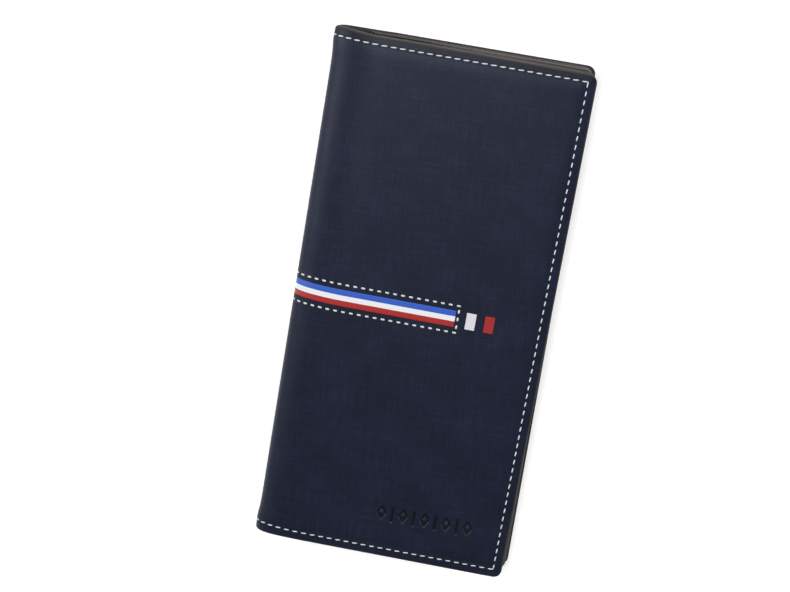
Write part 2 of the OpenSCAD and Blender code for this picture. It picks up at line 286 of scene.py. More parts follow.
def coated_leather(name, dark, mid, light, roughness, linen):
    """Polyurethane coated split leather with a linen-like press: two-tone threads both ways, about 0.8 mm
    apart and drawn a little coarse so that they show, over slow clouds of tone. Satin, with a soft sheen."""
    material, tree, sockets = finish_of(name, roughness, IOR=1.5, Specular_IOR_Level=0.26,
                                        Specular_Tint=(0.82, 0.88, 1, 1))
    place = add(tree, "ShaderNodeUVMap", uv_map="flat")
    # Weft, warp, clouds and pores: cells per millimetre along X and Y, detail and roughness.
    cells = ((0.1, 1.5, 3, 0.5), (1.5, 0.1, 3, 0.5), (0.05, 0.07, 3, 0.5), (2.6, 2.6, 4, 0.6))
    patterns = []
    for x_cells, y_cells, detail, rough in cells:
        scaled = add(tree, "ShaderNodeMapping", {"Vector": place, "Scale": (x_cells / mm, y_cells / mm, 1)})
        patterns.append(add(tree, "ShaderNodeTexNoise", {"Vector": scaled, "Scale": 1.0, "Detail": detail,
                                                         "Roughness": rough}))
    weft, warp, cloud, pores = patterns
    threads = add(tree, "ShaderNodeMath", {0: weft, 1: warp}, operation="ADD")
    clouding = 0.35
    middling = 0.5 - clouding / 2 - linen
    clouds = add(tree, "ShaderNodeMath", {0: cloud, 1: clouding, 2: middling}, operation="MULTIPLY_ADD")
    tone = add(tree, "ShaderNodeMath", {0: threads, 1: linen, 2: clouds}, operation="MULTIPLY_ADD")
    colour = add(tree, "ShaderNodeValToRGB", {"Fac": tone}, stops=((0.25, dark), (0.5, mid), (0.75, light)))
    # Painted shade: the "pressed" attribute darkens the colour towards near black in the mark's hollows and
    # along the front's far-end rim.
    pressed = add(tree, "ShaderNodeAttribute", attribute_name="pressed", out="Fac")
    add(tree, "ShaderNodeMix", {"Factor": pressed, "A": colour, "B": linear("#06070b")}, out="Result",
        data_type="RGBA", to=sockets["Base Color"])
    pore_share = 0.35
    height = add(tree, "ShaderNodeMath", {0: pores, 1: pore_share, 2: threads}, operation="MULTIPLY_ADD")
    add(tree, "ShaderNodeBump", {"Strength": 0.25, "Distance": 0.06 * mm, "Height": height},
        to=sockets["Normal"])
    return material


def painted_edge(name, colour, worn):
    """Cut edge sealed with edge paint: matte and slightly uneven, with the brush and the layers showing."""
    material, tree, sockets = finish_of(name, 0.55, IOR=1.48, Specular_IOR_Level=0.35)
    place = add(tree, "ShaderNodeTexCoord", out="Object")
    # Brush strokes about 17 mm long, and layers about 0.4 mm apart.
    streak = add(tree, "ShaderNodeMapping", {"Vector": place, "Scale": (60, 60, 2600)})
    layers = add(tree, "ShaderNodeTexNoise", {"Vector": streak, "Scale": 1.0, "Detail": 3.0})
    add(tree, "ShaderNodeValToRGB", {"Fac": layers}, ((0.3, colour), (0.75, worn)), to=sockets["Base Color"])
    add(tree, "ShaderNodeBump", {"Strength": 0.4, "Distance": 0.05 * mm, "Height": layers},
        to=sockets["Normal"])
    return material


navy_face = coated_leather("navy linen-pressed coated leather", "#0f1322", "#161b2d", "#222940", 0.42, 0.4)
dark_edge = painted_edge("dark brown edge paint", "#231f1e", "#37312d")
grey_edge = painted_edge("grey edge paint", "#494544", "#615b58")
flesh_side = finish_of("split leather flesh side", 0.9, Base_Color=linear("#3d3b3c"))[0]

mark_x, mark_y = 14.5 * mm, -75.8 * mm
mark_step, mark_tall, mark_count = 3.9 * mm, 6 * mm, 9
bar_half, die_slope = 0.55 * mm, 0.3 * mm
lozenge_half, lozenge_slope = 1.75 * mm, 1.4 * mm
hole_half, hole_reach, hole_slope = 0.75 * mm, 1.3 * mm, 0.6 * mm
ribbon_half = (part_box("front_ribbon")[1].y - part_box("front_ribbon")[0].y) / 2
ribbon_ends = {1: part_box("front_ribbon")[1].x, -1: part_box("back_ribbon")[1].x}
tabs = {name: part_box(name) for name in ("white_tab", "red_tab")}


def edge_drop(distance, swell=0.7 * mm, reach=3.4 * mm, edge=0.4 * mm):
    """How far a padded, skived sheet falls towards its edge, and then over its rounded edge."""
    inside = np.clip(edge - distance, 0, edge)
    return -swell * np.exp(-(distance / reach) ** 2) - (edge - np.sqrt(edge ** 2 - inside ** 2))


def pressed_mark(x, y):
    """How deep the mark's die reached, 0 to 1: upright bars and lozenges in turn, in one line."""
    depth = np.zeros_like(x)
    for i in range(mark_count):
        dx = np.abs(x - mark_x - (i - (mark_count - 1) / 2) * mark_step)
        dy = np.abs(y - mark_y)
        if i % 2:
            inside = np.minimum(bar_half - dx, mark_tall / 2 - dy)
        else:
            inside = (1 - dx / lozenge_half - dy / (mark_tall / 2)) * lozenge_slope
            inside = np.minimum(inside, (dx / hole_half + dy / hole_reach - 1) * hole_slope)
        depth = np.maximum(depth, np.clip(inside / die_slope + 0.4, 0, 1))
    return depth


def cover_height(side):
    """The relief of a cover half: swollen edges, pressed stitch lines, and recesses for what is let in."""
    seam_depth, seam_width = 0.13 * mm, 0.42 * mm
    past_row = 0.3 * mm

    def height(x, y):
        h = edge_drop(np.minimum(edge_x - x, end_y - np.abs(y)))
        inset_end = np.where(y > 0, stitch_top if side > 0 else stitch_inset, stitch_inset)
        off_end = np.abs(end_y - inset_end - np.abs(y))
        off_side = np.abs(edge_x - stitch_inset - x)
        inside_end = np.abs(y) < end_y - inset_end + past_row
        inside_side = x < edge_x - stitch_inset + past_row
        off_line = np.minimum(np.where(inside_side, off_end, 1), np.where(inside_end, off_side, 1))
        h = h - seam_depth * np.exp(-(off_line / seam_width) ** 2)
        under_ribbon = (np.abs(y) < ribbon_half + play) & (x < ribbon_ends[side] + play)
        h = h - recess * under_ribbon
        if side > 0:
            for low, high in tabs.values():
                off_middle = np.abs(x - (low.x + high.x) / 2)
                under_tab = (np.abs(y) < high.y + play) & (off_middle < (high.x - low.x) / 2 + play)
                h = h - 0.5 * recess * under_tab
            h = h - recess * pressed_mark(x, y)
        return h
    return height


edge_cuts = np.array([0, 0.05, 0.12, 0.22, 0.33, 0.45, 0.8, 1.3, 1.8, 2.2, 2.6, 3.1, 3.5, 4, 5, 6.5, 8]) * mm


def fold_runs(fine, coarse):
    """Cutting lines round the fold, closer together near its middle line, where it turns most."""
    tight = fold_x + 7 * mm
    return [(fold_x, tight, fine), (tight, roll_x, coarse)]


def cover_lines(side):
    """Cutting lines of a cover half: close together at edges, stitch lines, recesses and the mark."""
    near = 0.05 * mm
    border = edge_cuts[-1]
    x_runs = fold_runs(0.3 * mm, 1 * mm) + [(roll_x, edge_x - border, 3 * mm)]
    y_runs = [(-end_y + border, end_y - border, 3 * mm)]
    x_at = [*(edge_x - edge_cuts), *(ribbon_ends[side] + near * np.arange(4))]
    y_at = np.array([*(end_y - edge_cuts), *(ribbon_half + near * np.arange(3))])
    y_at = [*-y_at, *y_at]
    if side > 0:
        reach = (mark_count - 1) / 2 * mark_step + 2.4 * mm
        x_runs += [(mark_x - reach, mark_x + reach, 0.25 * mm)]
        y_runs += [(mark_y - mark_tall / 2 - 0.5 * mm, mark_y + mark_tall / 2 + 0.5 * mm, 0.25 * mm)]
        for low, high in tabs.values():
            x_at += [low.x - 2 * near, low.x - near, high.x + near, high.x + 2 * near]
    return lines(*x_runs, at=x_at), lines(*y_runs, at=y_at)


def bend_at_crease(piece, side):
    """Bakes the piece's placement into its mesh, the same for either half."""
    if side > 0:
        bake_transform(piece)
    else:
        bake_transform(piece)


cover_lap = 0.45 * mm
rim_fade = 0.4 * mm
for side, half in half_name.items():
    cover = cut_sheet(f"{half}_outer_cover", *cover_lines(side), cover_height(side), corners=True)
    co = points_of(cover)
    if side > 0:
        # Painted shade: the pressed mark's hollows are painted dark, and the rim past the far end's stitches,
        # which slopes away from the lamps, is painted half as dark.
        mark = cover.data.attributes.new("pressed", "FLOAT", "POINT")
        rim = 0.5 * np.clip((stitch_top - end_y + co[:, 1]) / rim_fade, 0, 1)
        painted_shade = np.maximum(0.85 * pressed_mark(co[:, 0], co[:, 1]), rim)
        mark.data.foreach_set("value", painted_shade.astype(np.float32))
    set_points(cover, wrap(co, side))
    if side < 0:
        edit_whole(cover, bpy.ops.mesh.flip_normals)
    # The edge paint comes twice: where it laps on to the face, and on the cut edge itself.
    thicken(cover, leather_t, (navy_face, dark_edge, dark_edge, flesh_side), 60,
            painted=lambda x, y: min(edge_x - x, end_y - abs(y)) < cover_lap)
    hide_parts(*(["front_cover", "spine_cover"] if side > 0 else ["back_cover"]))
    bend_at_crease(cover, side)

# --------------------
# Boards. Grey board die cut and glued between the leather and the lining of each half; hidden once
# the wallet is sewn. They keep their CAD shape.
board, board_tree, board_sockets = finish_of("grey board", 0.9)
board_place = add(board_tree, "ShaderNodeTexCoord", out="Object")
fibres = add(board_tree, "ShaderNodeTexNoise", {"Vector": board_place, "Scale": 900.0, "Detail": 4.0})
add(board_tree, "ShaderNodeValToRGB", {"Fac": fibres}, ((0.3, "#7d7468"), (0.7, "#968c7e")),
    to=board_sockets["Base Color"])
for half in half_name.values():
    board_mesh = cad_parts[f"{half}_board"].data
    board_mesh.materials.clear()
    board_mesh.materials.append(board)

# --------------------
# Lining. Charcoal polyester twill glued to the inside of the cover and round the fold; it is the
# outer wall of both bill compartments.
lining_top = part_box("back_board")[1].z + 0.25 * mm


def slanting_ribs(finish, degrees, cell, wave, distortion, stops, strength, depth):
    """Ribs that slant over the flat UV map, in colour and in relief. Gives the material."""
    material, tree, sockets = finish
    place = add(tree, "ShaderNodeUVMap", uv_map="flat")
    turned = add(tree, "ShaderNodeMapping", {"Vector": place, "Rotation": (0, 0, math.radians(degrees)),
                                             "Scale": (1 / cell, 1 / cell, 1)})
    ribs = add(tree, "ShaderNodeTexWave", {"Vector": turned, "Scale": wave, "Distortion": distortion},
               out="Fac")
    add(tree, "ShaderNodeValToRGB", {"Fac": ribs}, stops, to=sockets["Base Color"])
    add(tree, "ShaderNodeBump", {"Strength": strength, "Distance": depth, "Height": ribs},
        to=sockets["Normal"])
    return material


def twill(name, dark, light, pitch):
    """Woven cloth: diagonal ribs at the pitch of its yarns, matte, with a little sheen from the filament."""
    cloth = finish_of(name, 0.8, Sheen_Weight=0.2)
    return slanting_ribs(cloth, 45, pitch, 0.5, 0.6, ((0.2, dark), (0.8, light)), 0.6, 0.1 * mm)


lining_cloth = twill("charcoal polyester twill", "#2b2c31", "#44464d", 0.7 * mm)
lining_inset = 0.45 * mm
ledge = {1: 0.7 * mm, -1: 0}  # the front's layers are that much longer at each end
for side, half in half_name.items():
    reach = end_y - lining_inset + ledge[side]
    inner = reach - 0.5 * mm
    xs = lines(*fold_runs(0.5 * mm, 1.2 * mm), (roll_x, edge_x - lining_inset, 6 * mm))
    ys = lines((-inner, inner, 6 * mm), at=(-reach, reach))
    lining = cut_sheet(f"{half}_lining_cloth", xs, ys, lambda x, y: 0 * x - lining_top, corners=True)
    set_points(lining, wrap(points_of(lining), side))
    if side > 0:
        edit_whole(lining, bpy.ops.mesh.flip_normals)
    thicken(lining, 0.3 * mm, (lining_cloth, grey_edge), 60)
    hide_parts(*(["front_lining", "spine_lining"] if side > 0 else ["back_lining"]))
    bend_at_crease(lining, side)

# --------------------
# Inner panels. Thin coated leather, its rim glued down over a leather filler to the lining, with the
# edges painted grey. The space behind it is the bill compartment, open towards the fold.
inner_face = coated_leather("navy inner leather", "#10131f", "#171c2c", "#21273a", 0.5, 0.35)
panel_t = 0.6 * mm
panel_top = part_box("back_panel")[1].z
inner_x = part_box("back_panel")[0].x
rim_w = 3.2 * mm
paint_lap = 0.28 * mm
opening_lap = 1.2 * mm
short_of_cover = {1: 0, -1: 0.4 * mm}


def level_in(side, z):
    """Height above the outside of that half's cover."""
    return z if side < 0 else thick - z


def inside(flat, side, level):
    """Points of the flat pattern on the inside of a half, at that height above the cover's outside."""
    return askew(np.stack([flat[:, 0], flat[:, 1], level_in(side, flat[:, 2] + level)], 1), side)


def lay_in(piece, side, level):
    """Lays a flat sheet in a half, with its face to the inside."""
    set_points(piece, inside(points_of(piece), side, level))
    if side > 0:
        edit_whole(piece, bpy.ops.mesh.flip_normals)


def strip_lines(axis, low, high, window):
    """Cutting lines between two corners along one axis, closer together near both and round the window."""
    cuts = np.array([0, 0.06, 0.14, 0.28, 0.6, 1.1, 1.5, 1.75, 2.0, 2.5, 3.2]) * mm
    single = [*(low[axis] + cuts), *(high[axis] - cuts)]
    if window:
        cuts_round = np.array([0, 0.06, 0.14, 0.28, 0.6, 1.2]) * mm
        single += [*(window[0][axis] - cuts_round), *(window[1][axis] + cuts_round)]
    return lines((low[axis] + cuts[-1], high[axis] - cuts[-1], 3 * mm), at=single)


def within(x, y, low, high):
    """How far inside a rectangle, given by two corners, a point lies."""
    return np.minimum(np.minimum(high[0] - x, x - low[0]), np.minimum(high[1] - y, y - low[1]))


def leather_strip(name, side, low, high, level, thickness, materials, height=None, keep=None, window=None):
    """A leather layer inside a half, between two corners of the flat pattern, with soft painted edges.
    It may have a rectangular window, given by its two corners."""

    def to_edge(x, y):
        gap = within(x, y, low, high)
        return np.minimum(gap, -within(x, y, *window)) if window else gap

    def soft(x, y):
        drop = edge_drop(np.maximum(to_edge(x, y), 0), 0.08 * mm, 1.5 * mm, 0.25 * mm)
        return drop + (height(x, y) if height else 0)

    def kept(x, y):
        return to_edge(x, y) > 0 and (keep is None or keep(x, y))

    wide_lap = opening_lap if high[0] > edge_x - 2 * mm else paint_lap

    def painted(x, y):
        return to_edge(x, y) < paint_lap or high[0] - x < wide_lap

    round_off = low[1] < -end_y + 2 * mm
    xs, ys = strip_lines(0, low, high, window), strip_lines(1, low, high, window)
    piece = cut_sheet(name, xs, ys, soft, corners=round_off, keep=kept)
    lay_in(piece, side, level)
    thicken(piece, thickness, materials, painted=painted)
    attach(piece, f"{half_name[side]}_half")
    return piece


def corners_of(side, x_open, inset):
    """Two corners of a layer that reaches from x_open to the opening edge and both ends."""
    reach = end_y - inset + ledge[side]
    return (x_open, -reach), (edge_x - inset - short_of_cover[side], reach)


def near_rim(x, y):
    return x > edge_x - lining_inset - rim_w or abs(y) > end_y - lining_inset - rim_w


for side, half in half_name.items():
    panel = leather_strip(f"{half}_inner_panel", side, *corners_of(side, inner_x, lining_inset), panel_top,
                          panel_t, (inner_face, grey_edge))
    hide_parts(f"{half}_panel")
    filler = leather_strip(f"{half}_panel_rim", side, *corners_of(side, roll_x, lining_inset),
                           panel_top - panel_t + 0.2 * mm, panel_top - panel_t + 0.15 * mm - lining_top,
                           (grey_edge,), keep=near_rim)

# --------------------
# Card rows. Strips of the same leather, one over the other a step apart, sewn at their ends and down
# the middle so that each makes two pockets. Their open edges are creased with a hot iron.
row_t = 0.5 * mm
row_inset = 0.5 * mm
rows = {1: [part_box(f"front_card_row_{i}") for i in (1, 2, 3, 4)],
        -1: [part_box(f"back_card_row_{i}") for i in (1, 2, 3)]}


def row_top(side, i):
    low, high = rows[side][i]
    return max(level_in(side, low.z), level_in(side, high.z))


for side, half in half_name.items():
    for i, (low, high) in enumerate(rows[side]):
        name = f"{half}_card_row_{i + 1}"

        def open_edge(x, y, start=low.x):
            crease = -0.13 * mm * np.exp(-((x - start - 1.75 * mm) / (0.22 * mm)) ** 2)
            seam = -0.12 * mm * np.exp(-(y / (0.9 * mm)) ** 2)
            half_way = np.clip(1 - ((np.abs(y) - end_y / 2) / (end_y / 2)) ** 2, 0, 1)
            gape = 0.1 * mm * half_way * np.exp(-(x - start) / (3.5 * mm))
            return crease + seam + gape

        row = leather_strip(f"{name}_leather", side, *corners_of(side, low.x, row_inset), row_top(side, i),
                            row_t, (inner_face, grey_edge), open_edge)
        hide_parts(name)
        under = leather_strip(f"{name}_rim", side, *corners_of(side, low.x + 2 * mm, row_inset),
                              row_top(side, i) - row_t + 0.1 * mm, 0.3 * mm, (grey_edge,), keep=near_rim)

# --------------------
# Window pocket. A leather frame over the front half's card rows with a clear film behind it, sewn on
# three sides, for an identity card.
frame_low, frame_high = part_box("window_frame")
frame_border = 5 * mm
opening = ((frame_low.x + frame_border, frame_low.y + frame_border),
           (frame_high.x - frame_border, frame_high.y - frame_border))
window_leather = leather_strip("window_frame_leather", 1, frame_low, frame_high, level_in(1, frame_low.z),
                               0.4 * mm, (inner_face, grey_edge), window=opening)
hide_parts("window_frame")


def plain_layer(name, side, x_run, y_run, level, thickness, material, corners=False):
    """A thin, even layer laid inside a half; x_run and y_run are its runs of cutting lines."""
    piece = cut_sheet(name, lines(x_run), lines(y_run), corners=corners)
    lay_in(piece, side, level)
    thicken(piece, thickness, (material,))
    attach(piece, f"{half_name[side]}_half")
    return piece


clear_vinyl = finish_of("clear vinyl film", 0.1, IOR=1.53, Alpha=0.2, Base_Color=linear("#565c62"))[0]
film_low, film_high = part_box("window_film")
film_level = level_in(1, film_low.z) - 0.02 * mm
film = plain_layer("window_film_sheet", 1, (film_low.x, film_high.x, 4 * mm),
                   (film_low.y, film_high.y, 4 * mm), film_level, 0.15 * mm, clear_vinyl)
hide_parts("window_film")

# --------------------
# Coin pocket. A leather wall closed all round by a raised rim, over a thin cloth floor, with a long
# window for the zip. It fills the back half behind the card rows.
wall_low, wall_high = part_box("coin_wall")
zip_x = (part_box("zip_stops")[0].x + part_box("zip_stops")[1].x) / 2
zip_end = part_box("zip_stops")[1].y
zip_half = 3 * mm
zip_window = (zip_x - zip_half, -zip_end), (zip_x + zip_half, zip_end)
wall_t = 0.55 * mm
coin_wall = leather_strip("coin_pocket_wall", -1, *corners_of(-1, wall_low.x, row_inset), wall_high.z, wall_t,
                          (inner_face, grey_edge), window=zip_window)
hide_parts("coin_wall")
coin_rim = leather_strip("coin_pocket_rim", -1, *corners_of(-1, wall_low.x, row_inset),
                         wall_high.z - wall_t + 0.1 * mm, wall_high.z - wall_t - wall_low.z, (grey_edge,),
                         keep=lambda x, y: near_rim(x, y) or x < wall_low.x + rim_w / 2)

coin_cloth = twill("black pocket cloth", "#17181c", "#2a2b30", 0.5 * mm)
floor_low, floor_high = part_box("coin_lining")
floor_x = edge_x - row_inset - short_of_cover[-1]
floor_y = end_y - row_inset
coin_floor = plain_layer("coin_pocket_floor_cloth", -1, (floor_low.x, floor_x, 6 * mm),
                         (-floor_y, floor_y, 6 * mm), floor_high.z, 0.15 * mm, coin_cloth, corners=True)
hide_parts("coin_lining")

# --------------------
# Stitching. White twisted polyester thread, lockstitched: it runs along both ends, round the fold and
# down both opening edges, and shows on the outside and on the inner panels.
stitch_len = 2.0 * mm
stitch_pitch = 3.1 * mm
thread_w = 0.46 * mm
# Twisted filament is bright and slightly glossy, and its twist shows as slanting ridges on each stitch.
thread_finish = finish_of("white twisted thread", 0.45, Specular_IOR_Level=0.5, Sheen_Weight=0.3)
thread_tones = ((0.1, "#b9b9bc"), (0.6, "#f4f4f4"))
white_thread = slanting_ribs(thread_finish, 35, 1, 1.4, 0.3, thread_tones, 0.5, 0.08 * mm)


def ball(blunt):
    """Points and faces of a small ball with its poles along X, blunted towards them."""
    piece = add_primitive("ball", bpy.ops.mesh.primitive_uv_sphere_add, segments=8, ring_count=6, radius=1)
    across, up, pole = points_of(piece).T
    faces = [tuple(p.vertices) for p in piece.data.polygons]
    bpy.data.objects.remove(piece)
    return np.sign(pole) * np.abs(pole) ** blunt, across, up, faces


def one_stitch(length, width):
    """One stitch lying along X: a plump thread whose two ends dive into their holes."""
    along, across, up, faces = ball(0.7)
    reach = 0.5 * length + 0.1 * mm
    shape = np.stack([along * reach, across * width / 2, up * 0.36 * width], 1)
    shape[:, 2] += 0.1 * width - 0.75 * width * np.abs(along) ** 5
    return shape, faces


def place_many(name, places, unit, carry, material=white_thread):
    """One mesh of many copies of a unit (its points and faces), each at (x, y, turn) on the flat pattern
    and then carried to the wallet by carry()."""
    shape, faces = unit
    verts, polys, uvs = [], [], []
    for n, (x, y, turn) in enumerate(places):
        c, s = math.cos(turn), math.sin(turn)
        verts.append(np.stack([x + shape[:, 0] * c - shape[:, 1] * s,
                               y + shape[:, 0] * s + shape[:, 1] * c, shape[:, 2]], 1))
        uvs.append(np.stack([shape[:, 0] / mm, shape[:, 1] / mm], 1))
        polys += [tuple(v + n * len(shape) for v in face) for face in faces]
    mesh = bpy.data.meshes.new(name)
    mesh.from_pydata(carry(np.concatenate(verts)), [], polys)
    layer = mesh.uv_layers.new(name="flat")
    corner = np.empty(len(mesh.loops), int)
    mesh.loops.foreach_get("vertex_index", corner)
    layer.data.foreach_set("uv", np.concatenate(uvs)[corner].astype(np.float32).ravel())
    mesh.materials.append(material)
    piece = bpy.data.objects.new(name, mesh)
    bpy.context.scene.collection.objects.link(piece)
    edit_whole(piece, bpy.ops.mesh.normals_make_consistent, inside=False)
    bpy.ops.object.shade_smooth()
    return piece


def row_of_stitches(start, end, length, pitch, half_gap_at_end=False):
    """Centres of stitches from start to end. The first begins at start. The last ends at end, or half a gap
    before it, so that the row goes on evenly past the fold's middle line."""
    span = abs(end - start)
    if half_gap_at_end:
        count = round((span - length / 2) / pitch + 0.5)
        step = (span - length / 2) / (count - 0.5)
    else:
        count = round((span - length) / pitch) + 1
        step = (span - length) / (count - 1)
    sign = 1 if end > start else -1
    return [start + sign * (length / 2 + i * step) for i in range(count)]


slant = math.radians(5)
line_x = edge_x - stitch_inset
edge_stitch = one_stitch(stitch_len, thread_w)
for side, half in half_name.items():
    top = end_y - (stitch_top if side > 0 else stitch_inset)
    bottom = -end_y + stitch_inset
    places = [(line_x, y, math.pi / 2 - slant)
              for y in row_of_stitches(top, bottom, stitch_len, stitch_pitch)]
    for y in (top, bottom):
        places += [(x, y, slant) for x in row_of_stitches(line_x, fold_x, stitch_len, stitch_pitch, True)]
    drop = edge_drop(np.array([stitch_inset]))[0] - 0.1 * mm
    thread = place_many(f"{half}_edge_stitching", places, edge_stitch,
                        lambda flat: wrap(flat + [0, 0, drop], side))
    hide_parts(*(["front_stitching", "spine_stitching"] if side > 0 else ["back_stitching"]))
    bend_at_crease(thread, side)


def inner_level(side, x, y):
    """Height of the uppermost layer of a half, above the outside of its cover."""
    level = np.full_like(x, panel_top)
    if side < 0:
        level = np.where(x > wall_low.x, wall_high.z, level)
    for i, (low, high) in enumerate(rows[side]):
        level = np.where(x > low.x + 0.2 * mm, row_top(side, i), level)
    if side > 0:
        level = np.where(within(x, y, frame_low, frame_high) > 0, level_in(1, frame_low.z), level)
    return level


def seam(start, end, lean=slant):
    """Places of stitches from one point to another on the flat pattern."""
    way = Vector(end) - Vector(start)
    turn = math.atan2(way.y, way.x)
    return [(start[0] + s * math.cos(turn), start[1] + s * math.sin(turn), turn + lean)
            for s in row_of_stitches(0, way.length, stitch_len, stitch_pitch)]


seam_gap = 1.6 * mm
line_y = end_y - stitch_inset
for side, half in half_name.items():
    places = seam((line_x, -line_y), (line_x, line_y))
    for y in (-line_y, line_y):
        places += seam((inner_x + 1.5 * mm, y), (line_x, y))
    places += seam((rows[side][0][0].x + 0.8 * mm, 0), (line_x - 2 * mm, 0))
    if side > 0:
        low_x, high_x = frame_low.x + seam_gap, frame_high.x - seam_gap
        low_y, high_y = frame_low.y + seam_gap, frame_high.y - seam_gap
        places += seam((low_x, low_y), (low_x, high_y)) + seam((high_x, low_y), (high_x, high_y))
        places += seam((low_x, low_y), (high_x, low_y))
    else:
        low_x, high_x = zip_x - zip_half - seam_gap, zip_x + zip_half + seam_gap
        for x in (low_x, high_x):
            places += seam((x, -zip_end), (x, zip_end))
        for y in (-zip_end - seam_gap, zip_end + seam_gap):
            places += seam((low_x, y), (high_x, y))
    centres = np.array(places)
    levels = np.repeat(inner_level(side, centres[:, 0], centres[:, 1]), len(edge_stitch[0]))
    thread = place_many(f"{half}_inner_stitching", places, edge_stitch,
                        lambda flat: inside(flat, side, levels - 0.02 * mm))
    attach(thread, f"{half}_half")

# --------------------
# Zip. Woven polyester tapes sewn under the pocket wall, with a moulded nylon coil along each. Every
# turn of a coil has a head that reaches to the middle, half a pitch from its neighbours across.
tape_cloth = twill("black zip tape", "#0e0f12", "#232429", 0.6 * mm)
nylon = finish_of("black nylon coil", 0.3, IOR=1.53, Base_Color=linear("#15161a"))[0]
coil_half_gap = 0.18 * mm
coil_pitch = 1.25 * mm


def one_turn(width, tall):
    """One turn of a zip coil, lying along X from its head at the middle to its loop on the tape."""
    along, across, up, faces = ball(0.6)
    head = 1 + 0.25 * np.exp(-((along + 0.75) / 0.3) ** 2)
    return np.stack([along * width / 2, across * 0.34 * coil_pitch * head, up * tall / 2], 1), faces


for name, hand in (("fold_side", -1), ("edge_side", 1)):
    tape_low, tape_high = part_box(f"zip_tape_{name}")
    tape = plain_layer(f"zip_tape_{name}_cloth", -1, (tape_low.x, tape_high.x, 0.65 * mm),
                       (tape_low.y, tape_high.y, 5 * mm), tape_high.z, 0.28 * mm, tape_cloth)
    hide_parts(f"zip_tape_{name}")

    coil_low, coil_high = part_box(f"zip_coil_{name}")
    outer = coil_high.x - zip_x if hand > 0 else zip_x - coil_low.x
    coil_z = (coil_low.z + coil_high.z) / 2
    count = int((coil_high.y - coil_low.y) / coil_pitch) - 1
    turns = [(zip_x + hand * (coil_half_gap + outer) / 2, (i - (count - 1) / 2 + 0.25 * hand) * coil_pitch,
              0 if hand > 0 else math.pi) for i in range(count)]
    turn = one_turn(outer - coil_half_gap, coil_high.z - coil_low.z)
    coil = place_many(f"zip_coil_{name}_teeth", turns, turn, lambda flat: flat + [0, 0, coil_z],
                      nylon)
    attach(coil, "back_half")
    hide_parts(f"zip_coil_{name}")

# --------------------
# Zip hardware. Nickel-plated die-cast slider with an arched bridge, its flat puller, and a pressed
# stop across the coils at each end.
nickel, nickel_tree, nickel_sockets = finish_of("polished nickel plate", 0.22, Metallic=1.0,
                                                Base_Color=linear("#c9c6c1"))
metal_place = add(nickel_tree, "ShaderNodeTexCoord", out="Object")
scuffs = add(nickel_tree, "ShaderNodeTexNoise", {"Vector": metal_place, "Scale": 700.0, "Detail": 4.0,
                                                 "Roughness": 0.6})
add(nickel_tree, "ShaderNodeMapRange", {"Value": scuffs, "To Min": 0.16, "To Max": 0.34},
    to=nickel_sockets["Roughness"])


def round_edges(piece, width, segments, from_degrees):
    rounding = piece.modifiers.new("rounding", "BEVEL")
    rounding.width = width
    rounding.segments = segments
    rounding.limit_method = "ANGLE"
    rounding.angle_limit = math.radians(from_degrees)
    apply_modifiers(piece)


def block(name, low, high, bevel, shape=None):
    """A metal block between two corners, its points then changed by shape(), with its edges rounded."""
    piece = add_primitive(name, bpy.ops.mesh.primitive_cube_add, size=1)
    low, high = np.array(low), np.array(high)
    set_points(piece, points_of(piece) * (high - low) + (low + high) / 2)
    if shape:
        edit_whole(piece, bpy.ops.mesh.subdivide, number_cuts=11)
        set_points(piece, shape(points_of(piece)))
    round_edges(piece, bevel, 3, 40)
    piece.data.materials.append(nickel)
    select_only(piece)
    bpy.ops.object.shade_smooth_by_angle(angle=math.radians(40))
    return piece


def join(name, pieces):
    bpy.ops.object.select_all(action="DESELECT")
    for piece in pieces:
        piece.select_set(True)
    bpy.context.view_layer.objects.active = pieces[0]
    bpy.ops.object.join()
    pieces[0].name = name
    pieces[0].data.name = name
    return pieces[0]


stop_low, stop_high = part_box("zip_stops")
stop_len = 1.6 * mm
stops = [block(f"stop_{i}", (stop_low.x, y, stop_low.z), (stop_high.x, y + stop_len, stop_high.z), 0.2 * mm)
         for i, y in enumerate((stop_low.y, stop_high.y - stop_len))]
zip_stops = join("zip_end_stops", stops)
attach(zip_stops, "back_half")
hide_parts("zip_stops")

slider_low, slider_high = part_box("zip_slider")
puller_low, puller_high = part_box("zip_puller")
eye_r = 2.1 * mm
slider_y = puller_high.y - eye_r
slider_half_long = 4 * mm
nose_y, tail_y = slider_y + slider_half_long, slider_y - slider_half_long
plate_t = 0.35 * mm
top_plate_z = 5.05 * mm
bite = 0.1 * mm  # how far the parts of the casting reach into each other
bridge_top = slider_high.z


def shield(co):
    """Slider outline from above: full width at the nose, and drawn in towards the tail."""
    t = np.clip((nose_y - co[:, 1]) / (nose_y - tail_y), 0, 1)
    narrow = 1 - 0.3 * np.clip((t - 0.35) / 0.65, 0, 1) ** 1.5 - 0.35 * np.clip((0.12 - t) / 0.12, 0, 1) ** 2
    co[:, 0] = zip_x + (co[:, 0] - zip_x) * narrow
    return co


half_w = (slider_high.x - slider_low.x) / 2
slider_parts = [
    block("top_plate", (zip_x - half_w, tail_y, top_plate_z), (zip_x + half_w, nose_y, top_plate_z + plate_t),
          0.12 * mm, shield),
    block("bottom_plate", (zip_x - half_w, tail_y, slider_low.z),
          (zip_x + half_w, nose_y, slider_low.z + plate_t), 0.12 * mm, shield),
    block("wedge", (zip_x - 0.14 * mm, slider_y + 0.4 * mm, slider_low.z + bite),
          (zip_x + 0.14 * mm, nose_y - 0.6 * mm, top_plate_z + bite), 0.05 * mm),
    block("pivot_post", (zip_x - 0.5 * mm, slider_y - 0.5 * mm, top_plate_z + bite),
          (zip_x + 0.5 * mm, slider_y + 0.45 * mm, bridge_top - 0.15 * mm), 0.2 * mm),
]
bridge_half = 0.6 * mm
arch_r = 0.7 * mm
rise = bridge_top - arch_r - top_plate_z - bite
span = 3.4 * mm
arch_length = 2 * rise + math.pi * arch_r + span
bridge_xs = np.linspace(-bridge_half, bridge_half, 5)
